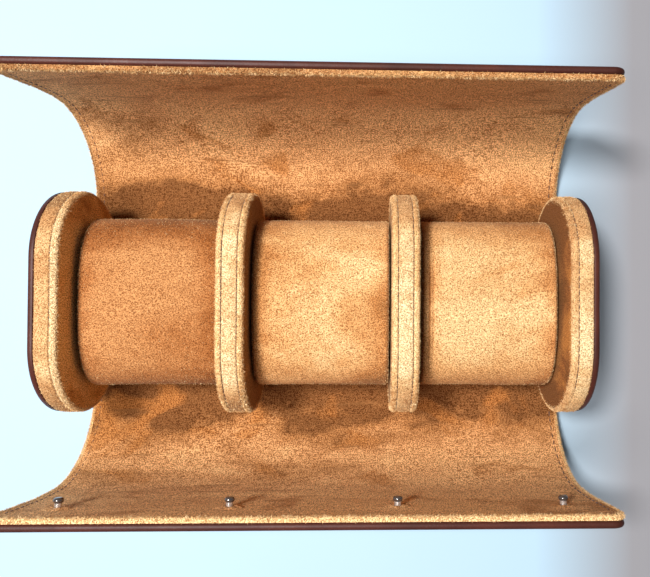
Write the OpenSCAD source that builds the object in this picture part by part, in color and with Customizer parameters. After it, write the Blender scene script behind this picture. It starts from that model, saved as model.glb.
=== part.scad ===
// Three-watch leather travel case, a watch roll, lying open.
// X runs along the roll, the front flap with the studs is on -Y and the back flap on +Y.
// The origin is on the underside, midway between the end caps and on the caps' own middle.

/* [Wrap] */
// Length of the wrap along the roll
wrap_w = 205; // [190:1:240]
// Thickness of the outer leather
leather_t = 1.4; // [1:0.1:1.8]
// Thickness of the stiffening board between leather and lining
board_t = 1.3; // [1:0.1:1.6]
// Thickness of the suede lining
lining_t = 1.7; // [1.2:0.1:2.2]
// Radius of the rounded corners at the free edge of each flap
flap_corner = 5; // [4:0.5:9]
// Gap between two strips of the wrap at a fold line
fold_gap = 0.3; // [0.2:0.05:0.4]

/* [Front flap] */
// Distance from the middle of the case to the front flap's first fold line
front_base = 20; // [18:0.5:21]
// Length of each narrow fold strip of the front flap
front_fold = 9; // [8.5:0.5:10]
// Radius of the front flap's standing curve, on the lining
front_radius = 34; // [33:0.5:35]
// Length of the front flap's shoulder strip
front_shoulder = 14; // [13:0.5:15]
// Length of the front flap's edge panel
front_edge = 30; // [26:0.5:32]
// Inward lean at the start of the front shoulder, then of the front edge panel
front_lean = [4, 4]; // [0:1:8]

/* [Back flap] */
// Distance from the middle of the case to the back flap's first fold line
back_base = 18; // [17:0.5:20]
// Length of each narrow fold strip of the back flap
back_fold = 12; // [11:0.5:13]
// Radius of the back flap's standing curve, on the lining
back_radius = 36; // [35:0.5:38]
// Length of the back flap's shoulder strip
back_shoulder = 12; // [11:0.5:14]
// Length of the back flap's edge panel
back_edge = 30; // [26:0.5:32]
// Inward lean at the start of the back shoulder, then of the back edge panel
back_lean = [3, 4]; // [0:1:8]

/* [End caps and dividers] */
// Width of the oval caps and dividers, front to back
cap_w = 86; // [70:1:88]
// Height of the oval caps and dividers
cap_h = 54; // [50:1:54]
// Thickness of the leather disc outside an end cap
cap_leather_t = 2.4; // [1.8:0.1:3]
// Width of the suede band round an end cap
cap_band_w = 5.5; // [4:0.1:8]
// Thickness of a suede face panel on an end cap
cap_panel_t = 2.6; // [2:0.1:3.5]
// Thickness of a suede face panel on a divider
divider_panel_t = 2.2; // [1.8:0.1:3]
// Width of the suede band round a divider
divider_band_w = 5.6; // [3:0.1:8]
// How much wider an outer bay is than the middle bay
outer_bay_extra = 1.9; // [0:0.1:4]
// Thickness of the suede band
band_t = 1.2; // [0.8:0.1:2]
// Rounding of the leather disc's outer rim
leather_rim = 1.8; // [0.5:0.1:1.8]
// Rounding of a suede panel's rim
panel_rim = 1.3; // [0.5:0.1:1.5]

/* [Pillows] */
// Gap between the middle pillow and the divider at each of its ends
pillow_gap = 0.7; // [0.4:0.1:4]
// Width of a pillow, front to back
pillow_w = 66; // [50:1:68]
// Height of a pillow
pillow_h = 42.6; // [30:0.2:46]
// Thickness of a pillow's suede cover
cover_t = 1.4; // [0.8:0.1:2]
// Rounding of a pillow's end seams
pillow_round = 3; // [3:0.5:8]
// How far a pillow's middle stands proud of its ends
pillow_crown = 0.4; // [0:0.1:2]

/* [Studs and sockets] */
// Number of ball studs along the front flap
stud_count = 4; // [2:1:6]
// Distance from one stud to the next
stud_pitch = 57.3; // [25:0.1:60]
// Distance from the front flap's free edge to the studs
stud_inset = 15; // [12:0.5:16]
// Diameter of a stud's ball head
stud_head_d = 3.4; // [3.2:0.1:3.8]
// Diameter of a stud's neck
stud_neck_d = 2.4; // [2:0.1:2.8]
// Diameter of a stud's foot on the lining
stud_foot_d = 5; // [5:0.1:7]
// Thickness of a stud's foot
stud_foot_t = 0.2; // [0.2:0.05:0.45]
// Height of a stud above the lining
stud_h = 3.4; // [3.4:0.1:3.8]
// Diameter of a stud's backing plate
plate_d = 8; // [7:0.1:10]
// Thickness of a stud's backing plate
plate_t = 0.6; // [0.4:0.1:0.8]
// Bore of a snap socket
socket_bore = 4.4; // [4.2:0.1:5]
// Outer diameter of a snap socket's barrel
socket_barrel_d = 6.2; // [6:0.1:7]
// Diameter of a snap socket's flange
socket_flange_d = 8.6; // [8:0.1:10]
// Thickness of a snap socket's flange, let in flush with the leather
socket_flange_t = 0.5; // [0.4:0.1:0.7]
// Depth of a snap socket from the leather's face
socket_depth = 3.6; // [3.4:0.1:3.8]

/* [Hidden] */

$fn = 64;
eps = 0.01; // cutters reach this far past the face they open
fit = 0.1; // easy fit of a piece inside another
rest_gap = 0.3; // clearance under a pillow that lifts out

wrap_t = leather_t + board_t + lining_t; // whole wrap
edge_r = (leather_t + board_t) / 2; // the leather turns round the board in a half-round edge

leather_colour = [0.30, 0.15, 0.12];
suede_colour = [0.78, 0.53, 0.30];
panel_colour = [0.72, 0.44, 0.21];
board_colour = [0.62, 0.58, 0.50];
foam_colour = [0.85, 0.83, 0.78];
steel_colour = [0.75, 0.75, 0.77];

// Each flap is a row of strips: [length, turn, kink before it], the fold line being at its start.
// Two flat fold strips, two halves of the standing quarter curve, the shoulder and the edge panel.
wall_turn = 45;
function strips(fold, radius, shoulder, edge, lean) = [
    [fold, 0, 0],
    [fold, 0, 0],
    [radius * wall_turn * PI / 180, wall_turn, 0],
    [radius * wall_turn * PI / 180, wall_turn, 0],
    [shoulder, 0, lean[0]],
    [edge, 0, lean[1]],
];
front_strips = strips(front_fold, front_radius, front_shoulder, front_edge, front_lean);
back_strips = strips(back_fold, back_radius, back_shoulder, back_edge, back_lean);
FOLD_1 = 0;
FOLD_2 = 1;
WALL_LOW = 2;
WALL_HIGH = 3;
SHOULDER = 4;
EDGE = 5;

// How far each fold line bends when the flap closes round the caps
front_close = [9, 29, 5, 10, 3, 26];
back_close = [8, 22, 25, 13, 14, 1];
open = [0, 0, 0, 0, 0, 0];

// Start of strip k as [distance from the middle, height, direction], bent by bend[] at its fold lines
function along(p, strip) = strip[1] == 0
    ? [p[0] + strip[0] * cos(p[2]), p[1] + strip[0] * sin(p[2]), p[2]]
    : let (r = strip[0] / (strip[1] * PI / 180))
      [p[0] + r * (sin(p[2] + strip[1]) - sin(p[2])),
       p[1] + r * (cos(p[2]) - cos(p[2] + strip[1])),
       p[2] + strip[1]];
function strip_end(base, list, bend, k) =
    k < 0 ? [base, wrap_t, 0] : along(strip_start(base, list, bend, k), list[k]);
function strip_start(base, list, bend, k) =
    strip_end(base, list, bend, k - 1) + [0, 0, list[k][2] + bend[k]];

// Stud line on the front edge panel, and the socket line that meets it when both flaps are closed
stud_u = front_edge - stud_inset;
socket_u = strip_start(back_base, back_strips, back_close, EDGE)[0]
    + strip_start(front_base, front_strips, front_close, EDGE)[0] - stud_u;
stud_x = [for (i = [0 : stud_count - 1]) (i - (stud_count - 1) / 2) * stud_pitch];

cap_t = cap_leather_t + cap_band_w + cap_panel_t;
divider_t = divider_band_w + 2 * divider_panel_t;
middle_bay = (wrap_w - 2 * cap_t - 2 * divider_t - 2 * outer_bay_extra) / 3;
divider_pitch = middle_bay + divider_t;
outer_bay_x = divider_pitch / 2 + divider_t / 2 + (middle_bay + outer_bay_extra) / 2; // middle of an outer bay
pillow_l = middle_bay - 2 * pillow_gap;

// ---------- placing ----------

// The local frame of strip k at rest: Y along the strip, Z out of the lining, X along the roll
module at_strip(base, list, k) {
    p = strip_start(base, list, open, k);
    translate([0, p[0], p[1]]) rotate([p[2], 0, 0]) children();
}
module front(k) mirror([0, 1, 0]) at_strip(front_base, front_strips, k) children();
module back(k) at_strip(back_base, back_strips, k) children();

// ---------- the wrap ----------

half_gap = fold_gap / 2;

// Carries a drawing of (across the roll, depth below the lining's face) from fold line to fold line
module run_strip(strip) {
    length = strip[0];
    if (strip[1] == 0) {
        translate([0, half_gap, 0]) rotate([-90, 0, 0]) linear_extrude(length - fold_gap) children();
    } else {
        r = length / (strip[1] * PI / 180);
        start = half_gap / r * 180 / PI;
        translate([0, 0, r]) rotate([90, 0, 90]) rotate([0, 0, start - 90])
            rotate_extrude(angle = strip[1] - 2 * start, $fn = 180)
            translate([r, 0]) mirror([1, -1]) children();
    }
}

module layer(width, near, far) translate([-width / 2, near]) square([width, far - near]);

// Lining of a strip
module lining_strip(strip) color(suede_colour) run_strip(strip) layer(wrap_w, 0, lining_t);

// Leather of a strip, turned round the board's side edges where there is a board
module leather_strip(strip, with_board) color(leather_colour) run_strip(strip) difference() {
    union() {
        layer(wrap_w - 2 * edge_r, lining_t, wrap_t);
        for (side = [-1, 1])
            translate([side * (wrap_w / 2 - edge_r), lining_t + edge_r]) circle(edge_r);
    }
    if (with_board) layer(wrap_w - 4 * edge_r, lining_t - eps, lining_t + board_t);
}

// Board of a strip, held in by the turned leather
module board_strip(strip) color(board_colour) run_strip(strip)
    layer(wrap_w - 4 * edge_r - 2 * fit, lining_t, lining_t + board_t);

// ---------- the free edge panels ----------

// Plan of an edge panel: straight at its fold line, two rounded corners at its free edge
module panel_plan(length, width, corner) {
    translate([-width / 2, 0]) square([width, length - corner]);
    translate([-width / 2 + corner, 0]) square([width - 2 * corner, length]);
    for (side = [-1, 1]) translate([side * (width / 2 - corner), length - corner]) circle(corner);
}

module panel_plate(length, width, corner, near, far) translate([0, half_gap, -far])
    linear_extrude(far - near) panel_plan(length - half_gap, width, corner);

// Turned half-round leather edge round three sides of an edge panel
module panel_bead(length) {
    bend = flap_corner - edge_r;
    translate([0, 0, -lining_t - edge_r]) {
        translate([flap_corner - wrap_w / 2, length - edge_r, 0]) rotate([0, 90, 0])
            cylinder(r = edge_r, h = wrap_w - 2 * flap_corner);
        for (side = [0, 1]) mirror([side, 0, 0]) {
            translate([wrap_w / 2 - edge_r, half_gap, 0]) rotate([-90, 0, 0])
                cylinder(r = edge_r, h = length - flap_corner - half_gap);
            translate([wrap_w / 2 - flap_corner, length - flap_corner, 0])
                rotate_extrude(angle = 90) translate([bend, 0]) circle(edge_r);
        }
    }
}

module edge_leather(length) {
    panel_plate(length - edge_r, wrap_w - 2 * edge_r, flap_corner - edge_r, lining_t, wrap_t);
    panel_bead(length);
}

module edge_pocket(length) panel_plate(length - 2 * edge_r, wrap_w - 4 * edge_r,
    flap_corner - 2 * edge_r, lining_t - eps, lining_t + board_t);

module edge_board(length) panel_plate(length - 2 * edge_r - fit, wrap_w - 4 * edge_r - 2 * fit,
    flap_corner - 2 * edge_r, lining_t, lining_t + board_t);

module edge_lining(length) panel_plate(length, wrap_w, flap_corner, 0, lining_t);

// ---------- studs on the front edge panel ----------

module at_studs() for (x = stud_x) translate([x, stud_u, 0]) children();

// One stud: shank through lining and board, foot, neck and rounded head
module stud() {
    head_t = stud_head_d * 0.55;
    crown_r = head_t / 2;
    translate([0, 0, -lining_t - board_t + plate_t])
        cylinder(d = stud_neck_d, h = lining_t + board_t - plate_t + stud_h - crown_r);
    cylinder(d = stud_foot_d, h = stud_foot_t);
    translate([0, 0, stud_h - crown_r]) rotate_extrude() intersection() {
        union() {
            translate([0, -crown_r]) square([stud_head_d / 2 - crown_r, head_t]);
            translate([stud_head_d / 2 - crown_r, 0]) circle(crown_r);
        }
        translate([0, -crown_r]) square([stud_head_d, head_t]);
    }
}

module stud_hole(depth) translate([0, 0, -depth - eps])
    cylinder(d = stud_neck_d + 2 * fit, h = depth + 2 * eps);

module ball_studs() color(steel_colour) front(EDGE) at_studs() stud();

module stud_plates() color(steel_colour) front(EDGE) at_studs()
    translate([0, 0, -lining_t - board_t]) cylinder(d = plate_d, h = plate_t);

module plate_recess() translate([0, 0, -lining_t - board_t - eps])
    cylinder(d = plate_d + 2 * fit, h = plate_t + eps);

// ---------- sockets on the back edge panel ----------

module at_sockets() for (x = stud_x) translate([x, socket_u, -wrap_t]) children();

module socket_recess() {
    translate([0, 0, -eps]) cylinder(d = socket_flange_d + 2 * fit, h = socket_flange_t + eps);
    cylinder(d = socket_barrel_d + 2 * fit, h = socket_depth + fit);
}

module snap_sockets() color(steel_colour) back(EDGE) at_sockets() difference() {
    union() {
        cylinder(d = socket_flange_d, h = socket_flange_t);
        cylinder(d = socket_barrel_d, h = socket_depth);
    }
    translate([0, 0, -eps]) cylinder(d = socket_bore, h = socket_depth + 2 * eps);
}

// ---------- base ----------

base_strip = [front_base + back_base, 0, 0];
module at_base() translate([0, -front_base, wrap_t]) children();
module base_leather() at_base() leather_strip(base_strip, true);
module base_board() at_base() board_strip(base_strip);
module base_lining() at_base() lining_strip(base_strip);

// ---------- flaps ----------

module front_fold_1_leather() front(FOLD_1) leather_strip(front_strips[FOLD_1], false);
module front_fold_1_lining() front(FOLD_1) lining_strip(front_strips[FOLD_1]);
module front_fold_2_leather() front(FOLD_2) leather_strip(front_strips[FOLD_2], false);
module front_fold_2_lining() front(FOLD_2) lining_strip(front_strips[FOLD_2]);
module front_wall_low_leather() front(WALL_LOW) leather_strip(front_strips[WALL_LOW], true);
module front_wall_low_board() front(WALL_LOW) board_strip(front_strips[WALL_LOW]);
module front_wall_low_lining() front(WALL_LOW) lining_strip(front_strips[WALL_LOW]);
module front_wall_high_leather() front(WALL_HIGH) leather_strip(front_strips[WALL_HIGH], true);
module front_wall_high_board() front(WALL_HIGH) board_strip(front_strips[WALL_HIGH]);
module front_wall_high_lining() front(WALL_HIGH) lining_strip(front_strips[WALL_HIGH]);
module front_shoulder_leather() front(SHOULDER) leather_strip(front_strips[SHOULDER], false);
module front_shoulder_lining() front(SHOULDER) lining_strip(front_strips[SHOULDER]);

module front_edge_leather() color(leather_colour) front(EDGE) difference() {
    edge_leather(front_edge);
    edge_pocket(front_edge);
}
module front_edge_board() color(board_colour) front(EDGE) difference() {
    edge_board(front_edge);
    at_studs() stud_hole(lining_t + board_t);
    at_studs() plate_recess();
}
module front_edge_lining() color(suede_colour) front(EDGE) difference() {
    edge_lining(front_edge);
    at_studs() stud_hole(lining_t);
}

module back_fold_1_leather() back(FOLD_1) leather_strip(back_strips[FOLD_1], false);
module back_fold_1_lining() back(FOLD_1) lining_strip(back_strips[FOLD_1]);
module back_fold_2_leather() back(FOLD_2) leather_strip(back_strips[FOLD_2], false);
module back_fold_2_lining() back(FOLD_2) lining_strip(back_strips[FOLD_2]);
module back_wall_low_leather() back(WALL_LOW) leather_strip(back_strips[WALL_LOW], true);
module back_wall_low_board() back(WALL_LOW) board_strip(back_strips[WALL_LOW]);
module back_wall_low_lining() back(WALL_LOW) lining_strip(back_strips[WALL_LOW]);
module back_wall_high_leather() back(WALL_HIGH) leather_strip(back_strips[WALL_HIGH], true);
module back_wall_high_board() back(WALL_HIGH) board_strip(back_strips[WALL_HIGH]);
module back_wall_high_lining() back(WALL_HIGH) lining_strip(back_strips[WALL_HIGH]);
module back_shoulder_leather() back(SHOULDER) leather_strip(back_strips[SHOULDER], false);
module back_shoulder_lining() back(SHOULDER) lining_strip(back_strips[SHOULDER]);

module back_edge_leather() color(leather_colour) back(EDGE) difference() {
    edge_leather(back_edge);
    edge_pocket(back_edge);
    at_sockets() socket_recess();
}
module back_edge_board() color(board_colour) back(EDGE) difference() {
    edge_board(back_edge);
    at_sockets() socket_recess();
}
module back_edge_lining() color(suede_colour) back(EDGE) difference() {
    edge_lining(back_edge);
    at_sockets() socket_recess();
}

// ---------- end caps and dividers ----------

// Upright oval with full round ends, as thick as t, starting at X = 0
module oval(w, h, t) rotate([90, 0, 90]) linear_extrude(t) {
    square([w - h, h], center = true);
    for (side = [-1, 1]) translate([side * (w - h) / 2, 0]) circle(h / 2, $fn = 96);
}

// Half section of a disc with a rounded rim on its far face
module rim_section(r, t, rim) intersection() {
    square([r, t]);
    union() {
        square([r, t - rim]);
        square([r - rim, t]);
        translate([r - rim, t - rim]) circle(rim);
    }
}

// Upright oval whose +X rim is rounded
module rimmed_oval(w, h, t, rim) rotate([90, 0, 90]) {
    for (side = [-1, 1]) translate([side * (w - h) / 2, 0, 0])
        rotate([0, 0, -90 * side]) rotate_extrude(angle = 180, $fn = 96) rim_section(h / 2, t, rim);
    rotate([90, 0, 90]) linear_extrude(w - h, center = true) {
        rim_section(h / 2, t, rim);
        mirror([1, 0]) rim_section(h / 2, t, rim);
    }
}

mid_z = wrap_t + cap_h / 2;
module at_right_cap(depth) translate([wrap_w / 2 - depth, 0, mid_z]) children();
module at_left_cap(depth) mirror([1, 0, 0]) at_right_cap(depth) children();

module cap_leather() color(leather_colour) rimmed_oval(cap_w, cap_h, cap_leather_t, leather_rim);
module face_panel(t) color(panel_colour) rimmed_oval(cap_w, cap_h, t, panel_rim);
module suede_band(width) color(suede_colour) difference() {
    oval(cap_w, cap_h, width);
    translate([-eps, 0, 0]) oval(cap_w - 2 * band_t, cap_h - 2 * band_t, width + 2 * eps);
}
module core(width) color(board_colour)
    oval(cap_w - 2 * (band_t + fit), cap_h - 2 * (band_t + fit), width);

module left_cap_leather() at_left_cap(cap_leather_t) cap_leather();
module left_cap_band() at_left_cap(cap_leather_t + cap_band_w) suede_band(cap_band_w);
module left_cap_core() at_left_cap(cap_leather_t + cap_band_w) core(cap_band_w);
module left_cap_panel() at_left_cap(cap_t - cap_panel_t) mirror([1, 0, 0]) face_panel(cap_panel_t);
module right_cap_leather() at_right_cap(cap_leather_t) cap_leather();
module right_cap_band() at_right_cap(cap_leather_t + cap_band_w) suede_band(cap_band_w);
module right_cap_core() at_right_cap(cap_leather_t + cap_band_w) core(cap_band_w);
module right_cap_panel() at_right_cap(cap_t - cap_panel_t) mirror([1, 0, 0]) face_panel(cap_panel_t);

module at_divider(side) translate([side * divider_pitch / 2, 0, mid_z]) children();
module divider_band() translate([-divider_band_w / 2, 0, 0]) suede_band(divider_band_w);
module divider_core() translate([-divider_band_w / 2, 0, 0]) core(divider_band_w);
module divider_panel() translate([divider_band_w / 2, 0, 0]) face_panel(divider_panel_t);

module left_divider_band() at_divider(-1) divider_band();
module left_divider_core() at_divider(-1) divider_core();
module left_divider_left_panel() at_divider(-1) mirror([1, 0, 0]) divider_panel();
module left_divider_right_panel() at_divider(-1) divider_panel();
module right_divider_band() at_divider(1) divider_band();
module right_divider_core() at_divider(1) divider_core();
module right_divider_left_panel() at_divider(1) mirror([1, 0, 0]) divider_panel();
module right_divider_right_panel() at_divider(1) divider_panel();

// ---------- pillows ----------

pillow_sides = 28; // points round a pillow
pillow_power = 2.7; // squareness of its oval section
// Rings along a pillow, as shares of its half length
pillow_rings = [-1, -0.97, -0.9, -0.8, -0.5, 0, 0.5, 0.8, 0.9, 0.97, 1];

function signed_power(v, p) = sign(v) * pow(abs(v), p);
// How far the surface is drawn in at a share of the half length: the crown, then the end's rounding
function drawn_in(share, half, round) =
    let (past = max(0, (abs(share) * half - (half - round)) / round))
    pillow_crown * share * share + round * (1 - sqrt(max(0, 1 - past * past)));
function ring_points(x, w, h, inset) = [for (i = [0 : pillow_sides - 1])
    let (a = 360 * i / pillow_sides)
    [x, (w / 2 - inset) * signed_power(cos(a), 2 / pillow_power),
        (h / 2 - inset) * signed_power(sin(a), 2 / pillow_power)]];

// Crowned oval cushion with rounded end seams, its middle at the origin
module cushion(l, w, h, round) {
    n = pillow_sides;
    last = len(pillow_rings) - 1;
    points = [for (s = pillow_rings) each ring_points(s * l / 2, w, h, drawn_in(s, l / 2, round))];
    walls = [for (k = [0 : last - 1]) for (i = [0 : n - 1])
        let (j = (i + 1) % n)
        each [[k * n + i, (k + 1) * n + j, k * n + j], [k * n + i, (k + 1) * n + i, (k + 1) * n + j]]];
    ends = [[for (i = [0 : n - 1]) i], [for (i = [n - 1 : -1 : 0]) last * n + i]];
    polyhedron(points, concat(walls, ends), convexity = 4);
}

module at_pillow(bay) translate([bay * outer_bay_x, 0, wrap_t + rest_gap + pillow_h / 2]) children();
module pillow_cover() color(panel_colour) difference() {
    cushion(pillow_l, pillow_w, pillow_h, pillow_round);
    pillow_inside(0);
}
module pillow_core() color(foam_colour) pillow_inside(fit);
module pillow_inside(clear) {
    shrink = 2 * (cover_t + clear);
    cushion(pillow_l - shrink, pillow_w - shrink, pillow_h - shrink, pillow_round - cover_t);
}

module left_pillow_cover() at_pillow(-1) pillow_cover();
module left_pillow_core() at_pillow(-1) pillow_core();
module middle_pillow_cover() at_pillow(0) pillow_cover();
module middle_pillow_core() at_pillow(0) pillow_core();
module right_pillow_cover() at_pillow(1) pillow_cover();
module right_pillow_core() at_pillow(1) pillow_core();

base_leather();
base_board();
base_lining();
left_cap_leather();
left_cap_band();
left_cap_core();
left_cap_panel();
right_cap_leather();
right_cap_band();
right_cap_core();
right_cap_panel();
left_divider_band();
left_divider_core();
left_divider_left_panel();
left_divider_right_panel();
right_divider_band();
right_divider_core();
right_divider_left_panel();
right_divider_right_panel();
left_pillow_cover();
left_pillow_core();
middle_pillow_cover();
middle_pillow_core();
right_pillow_cover();
right_pillow_core();
front_fold_1_leather();
front_fold_1_lining();
front_fold_2_leather();
front_fold_2_lining();
front_wall_low_leather();
front_wall_low_board();
front_wall_low_lining();
front_wall_high_leather();
front_wall_high_board();
front_wall_high_lining();
front_shoulder_leather();
front_shoulder_lining();
front_edge_leather();
front_edge_board();
front_edge_lining();
back_fold_1_leather();
back_fold_1_lining();
back_fold_2_leather();
back_fold_2_lining();
back_wall_low_leather();
back_wall_low_board();
back_wall_low_lining();
back_wall_high_leather();
back_wall_high_board();
back_wall_high_lining();
back_shoulder_leather();
back_shoulder_lining();
back_edge_leather();
back_edge_board();
back_edge_lining();
ball_studs();
stud_plates();
snap_sockets();
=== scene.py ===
"""A watch travel case: suede-lined leather wrap, oval end caps, dividers, pillows and ball studs.

All sizes are in metres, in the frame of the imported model: X along the roll, +Y the back flap, +Z up.
"""

import math

import bmesh
import bpy
import numpy as np
from mathutils import Euler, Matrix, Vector, noise
from mathutils.kdtree import KDTree


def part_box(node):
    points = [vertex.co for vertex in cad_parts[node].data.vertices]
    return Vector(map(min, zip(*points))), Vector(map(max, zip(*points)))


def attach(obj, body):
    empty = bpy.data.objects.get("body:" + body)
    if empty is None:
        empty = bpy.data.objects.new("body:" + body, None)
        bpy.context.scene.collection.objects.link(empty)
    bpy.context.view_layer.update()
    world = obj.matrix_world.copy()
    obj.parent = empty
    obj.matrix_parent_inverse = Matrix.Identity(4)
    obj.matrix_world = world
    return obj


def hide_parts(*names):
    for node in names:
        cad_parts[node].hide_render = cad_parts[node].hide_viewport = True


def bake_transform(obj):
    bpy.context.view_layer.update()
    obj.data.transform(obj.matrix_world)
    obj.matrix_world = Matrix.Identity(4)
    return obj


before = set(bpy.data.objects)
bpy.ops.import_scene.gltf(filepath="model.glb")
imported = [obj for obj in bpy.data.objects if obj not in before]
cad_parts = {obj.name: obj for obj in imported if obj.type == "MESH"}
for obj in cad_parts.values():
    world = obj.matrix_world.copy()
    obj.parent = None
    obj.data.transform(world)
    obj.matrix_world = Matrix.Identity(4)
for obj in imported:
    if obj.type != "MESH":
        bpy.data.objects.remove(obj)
scene = bpy.context.scene
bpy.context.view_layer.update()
MM = 0.001

# ---- sizes

WRAP_W = 205 * MM
LEATHER_T = 1.4 * MM
BOARD_T = 1.3 * MM
LINING_T = 1.7 * MM
WRAP_T = LEATHER_T + BOARD_T + LINING_T
TURN_R = (LEATHER_T + BOARD_T) / 2  # the leather turns round the board in a half-round edge
CORNER = 5 * MM  # rounded corner at a flap's free edge

STRIPS = ["fold_1", "fold_2", "wall_low", "wall_high", "shoulder", "edge"]


def flap(sign, base, fold, radius, shoulder, edge, lean):
    """One flap's strips: which side it is on, and (length, turn, lean at its start) of each strip."""
    wall = radius * math.pi / 4
    strips = [(fold, 0, 0), (fold, 0, 0), (wall, 45, 0), (wall, 45, 0),
              (shoulder, 0, lean[0]), (edge, 0, lean[1])]
    strips = [(length * MM, math.radians(turn), math.radians(start)) for length, turn, start in strips]
    return {"sign": sign, "base": base * MM, "strips": strips}


FLAPS = {
    "front": flap(-1, 20, 9, 34, 14, 30, (4, 4)),
    "back": flap(1, 18, 12, 36, 12, 30, (3, 4)),
}

CAP_W = 86 * MM
CAP_H = 54 * MM
CAP_MID_Z = WRAP_T + CAP_H / 2
CAP_LEATHER_T = 2.4 * MM
CAP_BAND_W = 5.5 * MM
CAP_PANEL_T = 2.6 * MM
DIVIDER_BAND_W = 5.6 * MM
DIVIDER_PANEL_T = 2.2 * MM
DIVIDER_X = 31.7 * MM

PILLOW_L = 52 * MM
PILLOW_W = 66 * MM
PILLOW_H = 42.6 * MM
PILLOW_GAP = 0.3 * MM  # under a pillow
PILLOW_X = {"left": -64.35 * MM, "middle": 0.0, "right": 64.35 * MM}

STUD_PITCH = 57.3 * MM
STUD_X = [(stud - 1.5) * STUD_PITCH for stud in range(4)]
STUD_INSET = 15 * MM  # from a flap's free edge to its row of studs
STUD_HOLE = [(depth * MM, 1.3 * MM) for depth in (-1, 3)]
SOCKET_HOLE = [(WRAP_T - depth * MM, radius * MM)
               for depth, radius in ((-1, 4.4), (0.5, 4.4), (0.5, 3.2), (3.75, 3.2))]

# ---- materials


def add_node(tree, kind, inputs=None, **settings):
    """A node with its settings and its named or numbered inputs, which are values or sockets."""
    made = tree.nodes.new(kind)
    for name, value in settings.items():
        setattr(made, name, value)
    for name, value in (inputs or {}).items():
        if isinstance(value, bpy.types.NodeSocket):
            tree.links.new(value, made.inputs[name])
        else:
            made.inputs[name].default_value = value
    return made


def new_material(name, **constants):
    """A material with one Principled shader, and its tree."""
    material = bpy.data.materials.new(name)
    material.use_nodes = True
    tree = material.node_tree
    shader = tree.nodes["Principled BSDF"]
    for socket, value in constants.items():
        shader.inputs[socket.replace("_", " ")].default_value = value
    return material, tree, shader


def rest_place(tree):
    """Where a point was when its piece was flat, so that a pattern stays put on bending leather."""
    return add_node(tree, "ShaderNodeAttribute", attribute_name="rest_place").outputs["Vector"]


def object_place(tree):
    """Where a point is on its piece, for pieces that don't bend."""
    return add_node(tree, "ShaderNodeTexCoord").outputs["Object"]


def maths(tree, operation, *values):
    """The result of a sum on numbers; MULTIPLY_ADD is the first times the second, plus the third."""
    return add_node(tree, "ShaderNodeMath", dict(enumerate(values)), operation=operation).outputs[0]


def noise_at(tree, place, scale, detail=2.0, roughness=0.5, distortion=0.0):
    """Cloudy noise between 0 and 1."""
    inputs = {"Vector": place, "Scale": scale, "Detail": detail, "Roughness": roughness,
              "Distortion": distortion}
    return add_node(tree, "ShaderNodeTexNoise", inputs).outputs["Fac"]


def stretched(tree, place, factors):
    """A place times a factor along each axis: a small factor draws a pattern out along it."""
    return add_node(tree, "ShaderNodeVectorMath", {0: place, 1: factors}, operation="MULTIPLY").outputs["Vector"]


def ramp(tree, factor, stops):
    """A colour ramp with (position, colour) stops."""
    made = add_node(tree, "ShaderNodeValToRGB", {"Fac": factor})
    elements = made.color_ramp.elements
    while len(elements) < len(stops):
        elements.new(0.5)
    for element, (position, colour) in zip(elements, stops):
        element.position = position
        element.color = (*colour, 1)
    return made.outputs["Color"]


def blend_colours(tree, factor, first, second, mode="MIX"):
    """The first colour where the factor is 0, and the second, or both multiplied, where it is 1."""
    made = add_node(tree, "ShaderNodeMix", {0: factor}, data_type="RGBA", blend_type=mode)
    for socket, value in ((6, first), (7, second)):
        if isinstance(value, bpy.types.NodeSocket):
            tree.links.new(value, made.inputs[socket])
        else:
            made.inputs[socket].default_value = (*value, 1)
    return made.outputs[2]


def remap(tree, value, low, high, new_low, new_high):
    """A value's range changed from low and high to new_low and new_high, and held within them."""
    inputs = {"Value": value, "From Min": low, "From Max": high, "To Min": new_low, "To Max": new_high}
    return add_node(tree, "ShaderNodeMapRange", inputs).outputs["Result"]


def raise_grain(tree, shader, height, strength, distance):
    """Fine relief on a surface, from a height pattern; the distance is in millimetres."""
    inputs = {"Height": height, "Strength": strength, "Distance": distance * MM}
    tree.links.new(add_node(tree, "ShaderNodeBump", inputs).outputs[0], shader.inputs["Normal"])


def shaded(colour, share):
    """A colour times a share."""
    return tuple(c * share for c in colour)


FIBRE_TINTS = [(0.0, (0.42, 0.30, 0.20)), (0.5, (1.0, 1.0, 1.0)), (1.0, (1.42, 1.50, 1.60))]


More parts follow.
